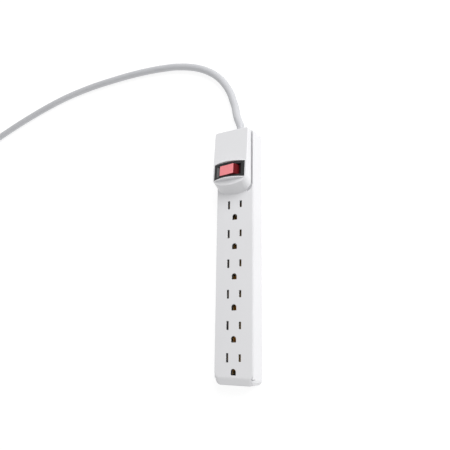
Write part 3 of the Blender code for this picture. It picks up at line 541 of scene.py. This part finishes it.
def strap_weave(name, colour):
    """Woven hook-and-loop strap."""
    finish = Finish(name, colour, 0.85)
    wave = finish.tree.nodes.new("ShaderNodeTexWave")
    wave.inputs["Scale"].default_value = 420.0
    wave.inputs["Distortion"].default_value = 1.5
    finish.tree.links.new(finish.where, wave.inputs["Vector"])
    light = tuple(c * 2.4 for c in colour)
    finish.link(finish.blend(wave.outputs["Fac"], colour, light), "Base Color")
    finish.set("Sheen Weight", 0.4)
    finish.bump(wave.outputs["Fac"], 0.5, 0.0002)
    finish.bump(finish.noise(2500.0), 0.4, 0.0001)
    return finish


def lamp_glass(name):
    """The neon lamp's envelope."""
    finish = Finish(name, (0.95, 0.75, 0.6), 0.05)
    finish.set("Transmission Weight", 0.9)
    finish.bump(finish.noise(300.0), 0.05, 0.0001)
    finish.link(finish.remap(finish.noise(400.0), 0.03, 0.12), "Roughness")
    return finish


def make_materials():
    """Every material of the strip, by name."""
    finishes = {
        "white_case": moulded("white_case", (0.72, 0.72, 0.735), 0.42),
        "black_bezel": moulded("black_bezel", (0.013, 0.013, 0.014), 0.3, 0.12),
        "red_lens": lens_finish(
            "red_lens", (0.80, 0.22, 0.24), (1.0, 0.3, 0.3), coat=0.6, roughness=0.12, gloss=0.5
        ),
        # A darker, duller copy of the lens colour: painted shade for the rocker's end and lower faces
        "red_lens_painted_shade": lens_finish(
            "red_lens_painted_shade", (0.12, 0.006, 0.009), (0.1, 0.01, 0.01), coat=0.0, roughness=0.6, gloss=0.08
        ),
        "brass": metal("brass", (0.80, 0.58, 0.27), 0.3, (1.0, 0.1, 1.0)),
        "steel": metal("steel", (0.60, 0.61, 0.63), 0.3),
        "silver": metal("silver", (0.84, 0.84, 0.85), 0.2),
        "cord_white": sheathing("cord_white", (0.52, 0.525, 0.545), 0.5),
        "nylon": moulded("nylon", (0.70, 0.68, 0.60), 0.5),
        "lamp_glass": lamp_glass("lamp_glass"),
        "resistor_tan": moulded("resistor_tan", (0.62, 0.48, 0.30), 0.5),
        "wire_black": sheathing("wire_black", (0.02, 0.02, 0.02), 0.45),
        "wire_white": sheathing("wire_white", (0.72, 0.72, 0.70), 0.45),
        "wire_green": sheathing("wire_green", (0.03, 0.28, 0.07), 0.45),
        "tie_black": strap_weave("tie_black", (0.025, 0.025, 0.027)),
    }
    return {name: finish.material for name, finish in finishes.items()}


def dress_nodes(materials):
    """Gives every carried-over node the material of its slot in the record."""
    slots = {part["node"]: part["material_slot"] for part in frame["record"]["subparts"]}
    for name, node in frame["nodes"].items():
        node.data.materials.clear()
        node.data.materials.append(materials[slots[name]])
        node.data.shade_smooth()
        node.data.set_sharp_from_angle(angle=math.radians(32))


# ---------------------------------------------------------------- cord


def coil_point(angle, radius, z):
    """A point at an angle round the coil."""
    x = COIL_CENTRE[0] + radius * math.cos(angle)
    y = COIL_CENTRE[1] + radius * math.sin(angle)
    return Vector((x, y, z))


def plug_place():
    """Where the plug starts: x runs along it towards its prongs."""
    leave = COIL_ENTRY_ANGLE + 2 * math.pi * COIL_TURNS
    heading = leave + math.pi / 2
    reach = Vector((math.cos(heading), math.sin(heading), 0.0)) * PLUG_START
    start = coil_point(leave, COIL_RADIUS, PLUG_AXIS_Z) + reach
    return Matrix.Translation(start) @ Matrix.Rotation(heading, 4, "Z")


def cord_path():
    """The cord's centre line: the open route, the coil and the run into the plug."""
    points = [Vector(point) for point in CORD_ROUTE]
    low = COIL_BOTTOM + CORD_RADIUS
    total = 2 * math.pi * COIL_TURNS
    steps = round(COIL_STEPS * COIL_TURNS)
    for i in range(steps + 1):
        travelled = total * i / steps
        climb = min(1.0, max(0.0, (math.degrees(travelled) - 240.0) / 100.0))
        lift = COIL_LIFT * climb * climb * (3 - 2 * climb)
        points.append(coil_point(COIL_ENTRY_ANGLE + travelled, COIL_RADIUS, low + lift))
    place = plug_place()
    for along in (-PLUG_START * 0.6, -PLUG_START * 0.3, 1.5):
        points.append(place @ Vector((along, 0.0, 0.0)))
    return smooth_path(points, 2.5)


def make_cord(materials):
    """The white supply cord, from inside the relief into the plug."""
    path = cord_path()
    rings = tube_rings(path, CORD_RADIUS, 24)
    cord = stack("supply_cord", rings, materials["cord_white"])
    finish_piece(cord, "casing", "cord_white", "power_cord", "cord_coil")
    return cord, [point * MM for point in path]


def relief_profile():
    """The bushing's outline: a flange inside the wall and ribs on the tapered sleeve."""
    profile = [(4.7, 106.0), (4.9, 106.3), (4.9, 113.2), (6.2, 113.3), (6.4, 113.5)]
    profile += [(6.4, 115.2), (6.2, 115.4), (5.0, 115.5), (5.0, 118.6)]
    ribs = 3
    first, last = 118.6, RELIEF_END_Y - 0.4
    pitch = (last - first) / ribs
    for i in range(ribs):
        y = first + i * pitch
        radius = 5.0 - 0.5 * (i + 1) / ribs
        profile += [(radius - 0.3, y + 0.15), (radius - 0.3, y + 0.55), (radius, y + 0.7)]
        profile.append((radius, y + pitch - 0.05))
    profile += [(4.35, RELIEF_END_Y - 0.2), (4.15, RELIEF_END_Y)]
    return profile


def make_relief(materials):
    """The strain relief where the cord leaves the end wall."""
    centre = (0.0, EXIT_Z)
    relief = turned("cord_relief", relief_profile(), centre, "y", 48, materials["cord_white"])
    bore = ((CORD_RADIUS + 0.06, 100.0), (CORD_RADIUS + 0.06, 130.0))
    combine(relief, "DIFFERENCE", [turned("relief_bore", bore, centre, "y", 48)])
    finish_piece(relief, "casing", "cord_white", "strain_relief")
    return relief


def make_tie(materials):
    """A hook-and-loop strap round both layers of the coil, its end lapped over."""
    low = COIL_BOTTOM + CORD_RADIUS
    reach = CORD_RADIUS + 0.25
    centres = ((0.0, low), (0.0, low + COIL_LIFT))
    path = arc(centres[1], reach, 20, 180, 12) + arc(centres[0], reach, 180, 360, 14)
    path += arc(centres[1], reach + 0.62, 0, 150, 12)
    half_width, thickness = 4.0, 0.55
    rings = []
    for i, (a, b) in enumerate(path):
        before, after = path[max(i - 1, 0)], path[min(i + 1, len(path) - 1)]
        along = Vector((after[0] - before[0], after[1] - before[1])).normalized()
        out = Vector((along.y, -along.x))
        inner, outer = Vector((a, b)), Vector((a, b)) + out * thickness
        section = [(-half_width, inner), (half_width, inner)]
        section += [(half_width, outer), (-half_width, outer)]
        rings.append([(point.x, y, point.y) for y, point in section])
    spot = coil_point(TIE_ANGLE, COIL_RADIUS, 0.0)
    place = Matrix.Translation(spot) @ Matrix.Rotation(TIE_ANGLE, 4, "Z")
    tie = stack("coil_strap", rings, materials["tie_black"], place)
    finish_piece(tie, "casing", "tie_black", "coil_tie")
    return tie


# ---------------------------------------------------------------- plug


PLUG_WIDTHS = (
    (0.0, 4.3), (2.0, 4.45), (16.0, 5.6), (19.0, 6.6), (23.0, 9.3), (28.0, 10.6), (34.0, 10.4),
    (41.0, 10.7), (47.0, 11.9), (52.6, 12.1), (53.6, 11.8), (54.0, 11.2),
)
PLUG_HEIGHTS = (
    (0.0, 4.3), (2.0, 4.45), (16.0, 5.6), (19.0, 6.4), (23.0, 8.6), (28.0, 9.8), (34.0, 9.9),
    (41.0, 10.4), (47.0, 11.3), (52.6, 11.5), (53.6, 11.2), (54.0, 10.6),
)


def along_table(table, x):
    """A value between the rows of a table of (x, value)."""
    for (x0, v0), (x1, v1) in zip(table, table[1:]):
        if x <= x1:
            share = (x - x0) / (x1 - x0)
            return v0 + (v1 - v0) * share * share * (3 - 2 * share)
    return table[-1][1]


def plug_ring(x, steps=48):
    """A cross-section of the plug: round at the relief, squarer towards its face."""
    squareness = 2.0 + 2.2 * min(1.0, max(0.0, (x - 17.0) / 14.0))
    width = along_table(PLUG_WIDTHS, x)
    height = along_table(PLUG_HEIGHTS, x)
    if 3.0 < x < 16.0 and (x - 3.0) % 2.6 < 0.9:
        width, height = width - 0.55, height - 0.55
    ribbed = 29.0 < x < 40.5 and (x - 29.0) % 2.3 > 1.3
    ring = []
    for k in range(steps):
        angle = 2 * math.pi * k / steps
        c, s = math.cos(angle), math.sin(angle)
        a = math.copysign(abs(c) ** (2 / squareness), c) * width
        b = math.copysign(abs(s) ** (2 / squareness), s) * height
        if ribbed and abs(c) > 0.6:
            a += math.copysign(0.5, c)
        ring.append((x, a, b))
    return ring


def make_plug(materials):
    """The moulded plug's body, with a ribbed neck and grip ribs on both sides."""
    place = plug_place()
    rings = [plug_ring(PLUG_LENGTH * i / PLUG_RINGS) for i in range(PLUG_RINGS + 1)]
    body = stack("plug_moulding", rings, materials["cord_white"], place)
    blade_z, pin_z, root, face = 4.0, -7.9, 46.0, PLUG_LENGTH
    tools = []
    for side in (-1, 1):
        y = side * BLADE_X
        low = (root - GAP, y - 0.85, blade_z - 3.25)
        tools.append(box("blade_pocket", low, (face + 1, y + 0.85, blade_z + 3.25), place))
    pocket = ((2.5, root - GAP), (2.5, face + 1))
    tools.append(turned("pin_pocket", pocket, (0, pin_z), "x", 32, None, place))
    combine(body, "DIFFERENCE", tools)
    finish_piece(body, "casing", "cord_white", "plug_body")
    return body


# ---------------------------------------------------------------- casing


def rounded_outline(half_x, low_y, high_y, low_radius, high_radius, steps=10):
    """A rectangle centred on x = 0 with its own corner radius at each end."""
    outline = arc((half_x - low_radius, low_y + low_radius), low_radius, -90, 0, steps)
    outline += arc((half_x - high_radius, high_y - high_radius), high_radius, 0, 90, steps)
    outline += arc((high_radius - half_x, high_y - high_radius), high_radius, 90, 180, steps)
    outline += arc((low_radius - half_x, low_y + low_radius), low_radius, 180, 270, steps)
    return outline


def casing_ring(z, inset, far_y):
    """The casing's outline at one height."""
    far_radius = max(FAR_CORNER - inset, 0.5)
    cord_radius = max(CORD_CORNER - inset, 0.4)
    half_x = HALF_WIDTH - inset
    outline = rounded_outline(half_x, far_y, HALF_LENGTH - inset, far_radius, cord_radius)
    return [(x, y, z) for x, y in outline]


def face_height(y):
    """Height of the head's sloping face."""
    return HEAD_END_HEIGHT + (HALF_LENGTH - y) * HEAD_SLOPE


def head_outline(inset, toe_y):
    """The head's plan: a bowed toe, round toe corners, straight sides and tight end corners."""
    half_x = HEAD_HALF_WIDTH - inset
    corner = HEAD_TOE_CORNER - inset
    centre_x = half_x - corner
    toe = []
    for i in range(-6, 7):
        x = i * centre_x / 6
        toe.append((x, toe_y + x * x / (2 * HEAD_TOE_BOW)))
    centre_y = toe[-1][1] + corner
    right = arc((centre_x, centre_y), corner, -76, 0, 12)
    left = arc((-centre_x, centre_y), corner, 180, 256, 12)
    end_y = HALF_LENGTH - inset
    radius = max(HEAD_END_CORNER - inset, 0.5)
    far_right = arc((half_x - radius, end_y - radius), radius, 0, 90, 6)
    far_left = arc((radius - half_x, end_y - radius), radius, 90, 180, 6)
    return toe + right + far_right + far_left + left


def head_ring(inset, toe_y, depth=None, z=None):
    """A ring of the head, either level at z or a given depth under the sloping face."""
    points = []
    for x, y in head_outline(inset, toe_y):
        height = z if depth is None else face_height(y) - depth
        points.append((x, y, height))
    return points


def make_head(name):
    """The head's outer form, with a rounded edge all round its face."""
    top_toe = HEAD_TOE_Y + HEAD_TOE_RUN
    step = HEAD_HALF_WIDTH - SKIRT_HALF_WIDTH
    rings = [
        head_ring(step, HEAD_TOE_Y + step, z=SKIRT_Z),
        head_ring(step, HEAD_TOE_Y + step, z=SEAM_Z + 0.1),
        head_ring(0.0, HEAD_TOE_Y, z=SEAM_Z + 0.2),
        head_ring(0.0, HEAD_TOE_Y, z=FACE_Z),
    ]
    steps = 6
    for i in range(steps + 1):
        angle = math.radians(90.0 * i / steps)
        inset = HEAD_EDGE * (1 - math.cos(angle))
        depth = HEAD_EDGE * (1 - math.sin(angle))
        rings.append(head_ring(inset, top_toe + 1.1 * inset, depth=depth))
    return stack(name, rings)


def make_head_cavity(name):
    """The hollow inside the head."""
    rings = [
        head_ring(HEAD_WALL, HEAD_TOE_Y + 2.2, z=SKIRT_Z - 1.0),
        head_ring(HEAD_WALL, HEAD_TOE_Y + 2.2, z=FACE_Z - 0.5),
        head_ring(HEAD_WALL, HEAD_TOE_Y + HEAD_TOE_RUN + 2.0, depth=HEAD_WALL),
    ]
    return stack(name, rings)


def switch_place():
    """The switch's frame, from the rocker's joint."""
    joint = JOINTS["rocker_tilt"]
    along = Vector(joint["axis"]).normalized()
    across = Vector((1.0, 0.0, 0.0))
    out = across.cross(along)
    turn = Matrix((across, along, out)).transposed().to_4x4()
    return Matrix.Translation(Vector(joint["pos_m"]) / MM) @ turn


def crown(half_x, offset, rise=BEZEL_RISE, steps=32):
    """A crowned line over the switch from +x to -x, moved up by an offset."""
    points = []
    for i in range(steps + 1):
        x = half_x * (1 - 2 * i / steps)
        points.append((x, BEZEL_END_Z + rise * (1 - (x / BEZEL_HALF_X) ** 2) + offset))
    return points


def edge_rounding(half, radius, steps=4):
    """(place, shrink) pairs that round the two ends of an extrusion."""
    pairs = []
    for i in range(steps + 1):
        angle = math.radians(90.0 * i / steps)
        pairs.append((half - radius * (1 - math.sin(angle)), radius * (1 - math.cos(angle))))
    low = [(-place, shrink) for place, shrink in reversed(pairs)]
    return low + list(pairs)


def collar_tools(place):
    """The crowned collar round the switch, and the pocket and window cut in it."""
    half_x = BEZEL_HALF_X + COLLAR
    rings = []
    for y, shrink in edge_rounding(BEZEL_HALF_Y + COLLAR + 0.2, 0.35):
        top = crown(half_x - shrink, COLLAR_STEP - shrink, COLLAR_RISE)
        section = [(shrink - half_x, 0.0), (half_x - shrink, 0.0), *top]
        rings.append([(x, y, z) for x, z in section])
    collar = stack("collar", rings, None, place)
    floor_half = BEZEL_HALF_X + 0.2
    floor = crown(floor_half, -BEZEL_THICKNESS - GAP)
    pocket_outline = floor + [(-floor_half, 20.0), (floor_half, 20.0)]
    pocket_y = BEZEL_HALF_Y + 0.2
    pocket = prism("pocket", pocket_outline, -pocket_y, pocket_y, "y", place)
    reach_x = HOUSING_HALF_X + GAP
    reach_y = HOUSING_HALF_Y + 0.2
    window = box("window", (-reach_x, -reach_y, -12.0), (reach_x, reach_y, 12.0), place)
    return collar, pocket, window


def flared(outline):
    """Rings that cut an outline through the face, with a small chamfer at the mouth."""
    wide = shrunk(outline, -SLOT_CHAMFER - 0.05)
    levels = (
        (18.0, outline), (FACE_Z - SLOT_CHAMFER, outline), (FACE_Z + 0.05, wide), (24.0, wide),
    )
    return [[(x, y, z) for x, y in ring] for z, ring in levels]


def ground_outline(y):
    """D-shaped ground hole: round towards the blades, flat away from them."""
    half = GROUND_WIDTH / 2
    flat_y = y - GROUND_HEIGHT / 2
    round_side = arc((0, y + GROUND_HEIGHT / 2 - half), half, 0, 180, 20)
    corner = 0.5
    first = arc((corner - half, flat_y + corner), corner, 180, 270, 4)
    last = arc((half - corner, flat_y + corner), corner, 270, 360, 4)
    return first + last + round_side


def make_outlet_slots():
    """All the outlets' slots as one tool, and the shallow pockets behind them as another."""
    slots = bmesh.new()
    pockets = bmesh.new()
    for outlet in OUTLETS:
        ground_y = outlet.y - GROUND_DROP
        openings = (
            (-BLADE_X, outlet.y, SLOT_WIDTH / 2, NEUTRAL_LENGTH / 2),
            (BLADE_X, outlet.y, SLOT_WIDTH / 2, LINE_LENGTH / 2),
            (0.0, ground_y, GROUND_WIDTH / 2, GROUND_HEIGHT / 2),
        )
        for x, y, half_x, half_y in openings:
            slot = rounded_rectangle(x - half_x, x + half_x, y - half_y, y + half_y, 0.3)
            if x:
                add_stack(slots, flared(slot))
            add_stack(pockets, lifted(shrunk(slot, -POCKET_MARGIN), 17.0, POCKET_Z))
        add_stack(slots, flared(ground_outline(ground_y)))
    return finish_mesh("slots", slots), finish_mesh("pockets", pockets)


def groove_corner():
    """The groove where it turns in round the head's right toe corner."""
    corner = HEAD_TOE_CORNER
    centre_x = HEAD_HALF_WIDTH - corner
    centre_y = HEAD_TOE_Y + centre_x**2 / (2 * HEAD_TOE_BOW) + corner
    outer = arc((centre_x, centre_y), corner + GROOVE - CURL_TRIM, -66, 8, 14)
    inner = arc((centre_x, centre_y), corner - CURL_BITE, 8, -66, 14)
    return prism("groove_corner", outer + inner, GROOVE_FLOOR_Z, GROOVE_TOP_Z)


def cover_blank():
    """The outlet face and its rolled far end."""
    low = SEAM_Z + SEAM_HALF_GAP
    far_low = FAR_SEAM_Z + SEAM_HALF_GAP
    levels = [
        (far_low, 0.0, 0.0), (17.0, 0.0, 0.02), (17.35, 0.0, 0.15), (17.65, 0.0, 0.5),
        (17.9, 0.0, 0.95), (19.9, 0.0, 5.25), (20.2, 0.1, 5.95), (20.4, 0.3, 6.6),
        (FACE_Z, 0.6, 7.4),
    ]
    rings = [casing_ring(z, inset, run - HALF_LENGTH) for z, inset, run in levels]
    cover = stack("cover_shell", rings)
    plate_half = INNER_HALF_WIDTH - GAP
    under_low = (-plate_half, WALL + 0.6 - HALF_LENGTH, 0.0)
    under = [box("under", under_low, (plate_half, 130.0, FACE_Z - PLATE))]
    for side in (-1, 1):
        low_x, high_x = sorted((side * plate_half, side * 25.0))
        side_low = (low_x, FAR_SEAM_Y - SEAM_HALF_GAP, 0.0)
        under.append(box("side_under", side_low, (high_x, 130.0, low)))
    combine(cover, "DIFFERENCE", under)
    return cover, low


def make_cover(materials):
    """The front shell: outlet face, rolled far end, head and the switch's collar."""
    cover, low = cover_blank()
    combine(cover, "UNION", [make_head("head")])
    end_low = (-25.0, HALF_LENGTH - 2.5, 0.0)
    cuts = [make_head_cavity("head_hollow"), box("end_cut", end_low, (25.0, 130.0, low))]
    for side in (-1, 1):
        low_x, high_x = sorted((side * SKIRT_HALF_WIDTH, side * 25.0))
        side_low = (low_x, LIP_START_Y - GAP, 10.0)
        cuts.append(box("side_cut", side_low, (high_x, 130.0, GROOVE_TOP_Z)))
    combine(cover, "DIFFERENCE", [*cuts, groove_corner(), *make_outlet_slots()])
    collar, pocket, window = collar_tools(switch_place())
    combine(cover, "UNION", [collar])
    combine(cover, "DIFFERENCE", [pocket, window])
    cover.data.materials.clear()
    cover.data.materials.append(materials["white_case"])
    finish_piece(cover, "casing", "white_case", "top_cover")


# ---------------------------------------------------------------- switch


def bezel_rings():
    """The crowned flange, its edges rounded."""
    rings = []
    for y, shrink in edge_rounding(BEZEL_HALF_Y, 0.3):
        top = crown(BEZEL_HALF_X - shrink, -shrink)
        bottom = crown(BEZEL_HALF_X - shrink, shrink - BEZEL_THICKNESS)
        rings.append([(x, y, z) for x, z in top + bottom[::-1]])
    return rings


def well_tool(place):
    """The recess that the rocker sits in, with a slope down to the opening at each end."""
    end_z = crown(WELL_HALF_X, 0.1)[0][1]
    floor_z = crown(WELL_FLOOR_HALF_X, -WELL_DEPTH)[0][1]
    outline = [(WELL_FLOOR_HALF_X, floor_z), (WELL_HALF_X, end_z), (WELL_HALF_X, 20.0)]
    outline += [(-x, z) for x, z in reversed(outline)]
    return prism("well", outline, -WELL_HALF_Y, WELL_HALF_Y, "y", place)


def make_bezel(materials):
    """The black bezel and the housing walls under it."""
    place = switch_place()
    bezel = stack("switch_bezel", bezel_rings(), materials["black_bezel"], place)
    top = crown(HOUSING_HALF_X, -0.8)
    outline = [(-HOUSING_HALF_X, HOUSING_BOTTOM), (HOUSING_HALF_X, HOUSING_BOTTOM), *top]
    walls = prism("walls", outline, -HOUSING_HALF_Y, HOUSING_HALF_Y, "y", place)
    combine(bezel, "UNION", [walls])
    low = (-OPENING_HALF_X, -OPENING_HALF_Y, 0.0)
    opening = box("opening", low, (OPENING_HALF_X, OPENING_HALF_Y, 15.0), place)
    low = (-CAVITY_HALF_X, -CAVITY_HALF_Y, -15.0)
    cavity = box("cavity", low, (CAVITY_HALF_X, CAVITY_HALF_Y, OPENING_BOTTOM), place)
    hole = ((TRUNNION_RADIUS + 0.2, -9.0), (TRUNNION_RADIUS + 0.2, 9.0))
    bearing = turned("bearing", hole, (0, 0), "y", 32, None, place)
    combine(bezel, "DIFFERENCE", [well_tool(place), cavity, opening, bearing])
    finish_piece(bezel, "casing", "black_bezel", "switch_frame")


def rocker_outline():
    """The rocker's section: a slightly dished top and ends that clear the bezel."""
    right = [(9.6, -1.5, 0.3), (9.5, 3.2, 1.5), (7.9, 7.45, 0.3)]
    left = [(-x, z, radius) for x, z, radius in reversed(right)]
    return filleted([*right, (0.0, 7.2, 30.0), *left], 6)


def make_rocker(materials):
    """The red rocker: a bright centre, with its ends and lower edges painted darker as shade."""
    place = switch_place() @ Matrix.Rotation(ROCKER_TILT, 4, "Y")
    outline = rocker_outline()
    rings = []
    for y, shrink in edge_rounding(ROCKER_HALF_Y, 0.3):
        rings.append([(x, y, z) for x, z in shrunk(outline, shrink)])
    rocker = stack("rocker_lens", rings, materials["red_lens"], place)
    hollow = box("hollow", (-7.9, -3.6, -3.0), (7.9, 3.6, 5.2), place)
    combine(rocker, "DIFFERENCE", [hollow])
    pins = []
    for side in (-1, 1):
        low_y, high_y = sorted((side * 4.1, side * 6.7))
        pin = ((TRUNNION_RADIUS, low_y), (TRUNNION_RADIUS, high_y))
        pins.append(turned("pin", pin, (0, 0), "y", 24, None, place))
    stem = box("stem", (-2.5, -2.5, -4.2), (2.5, 2.5, 5.8), place)
    combine(rocker, "UNION", [stem, *pins])
    bore = ((1.6, -6.0), (1.6, 1.8))
    combine(rocker, "DIFFERENCE", [turned("bore", bore, (0, 0), "z", 24, None, place)])
    rocker.data.materials.clear()
    rocker.data.materials.append(materials["red_lens"])
    rocker.data.materials.append(materials["red_lens_painted_shade"])
    back = (Matrix.Scale(MM, 4) @ place).inverted()
    # Faces past the bright centre, or low on the sides, get the darker copy: painted shade
    for face in rocker.data.polygons:
        centre = back @ face.center
        if centre.x > PAINTED_SHADE_FROM_X or centre.z < PAINTED_SHADE_BELOW_Z:
            face.material_index = 1
    finish_piece(rocker, "rocker", "red_lens", "rocker")


# ---------------------------------------------------------------- stage


def make_stage():
    """A pale floor and an even sky."""
    bm = bmesh.new()
    bmesh.ops.create_grid(bm, x_segments=1, y_segments=1, size=6.0)
    mesh = bpy.data.meshes.new("floor")
    bm.to_mesh(mesh)
    bm.free()
    floor = bpy.data.objects.new("floor", mesh)
    bpy.context.scene.collection.objects.link(floor)
    paper = Finish("floor_paper", FLOOR_COLOUR, 0.9).mottle(4.0, 0.004)
    paper.set("Emission Color", (1.0, 1.0, 1.0, 1.0))
    paper.set("Emission Strength", FLOOR_GLOW)
    mesh.materials.append(paper.material)
    world = bpy.data.worlds.new("studio")
    world.use_nodes = True
    background = world.node_tree.nodes["Background"]
    background.inputs["Color"].default_value = (1.0, 1.0, 1.0, 1.0)
    background.inputs["Strength"].default_value = SKY_STRENGTH
    bpy.context.scene.world = world
    bpy.context.scene.view_settings.view_transform = "Standard"


def make_lamp(name, direction, distance, size, power):
    """A square softbox that faces the strip from a direction."""
    data = bpy.data.lights.new(name, "AREA")
    data.size = size
    data.energy = power
    lamp = bpy.data.objects.new(name, data)
    lamp.location = Vector(direction).normalized() * distance
    lamp.rotation_euler = Vector(direction).to_track_quat("Z", "Y").to_euler()
    bpy.context.scene.collection.objects.link(lamp)


def make_lamps():
    """A large softbox to the right of the head and behind it, and a weak one overhead."""
    make_lamp("key", (0.62, 0.54, 0.57), 1.6, 1.2, 18.5)
    make_lamp("fill", (0.0, -0.1, 1.0), 1.6, 0.8, 1.2)


def main():
    make_camera()
    materials = make_materials()
    dress_nodes(materials)
    cord, path = make_cord(materials)
    relief = make_relief(materials)
    tie = make_tie(materials)
    plug = make_plug(materials)
    make_cover(materials)
    make_bezel(materials)
    make_rocker(materials)
    make_stage()
    make_lamps()


main()
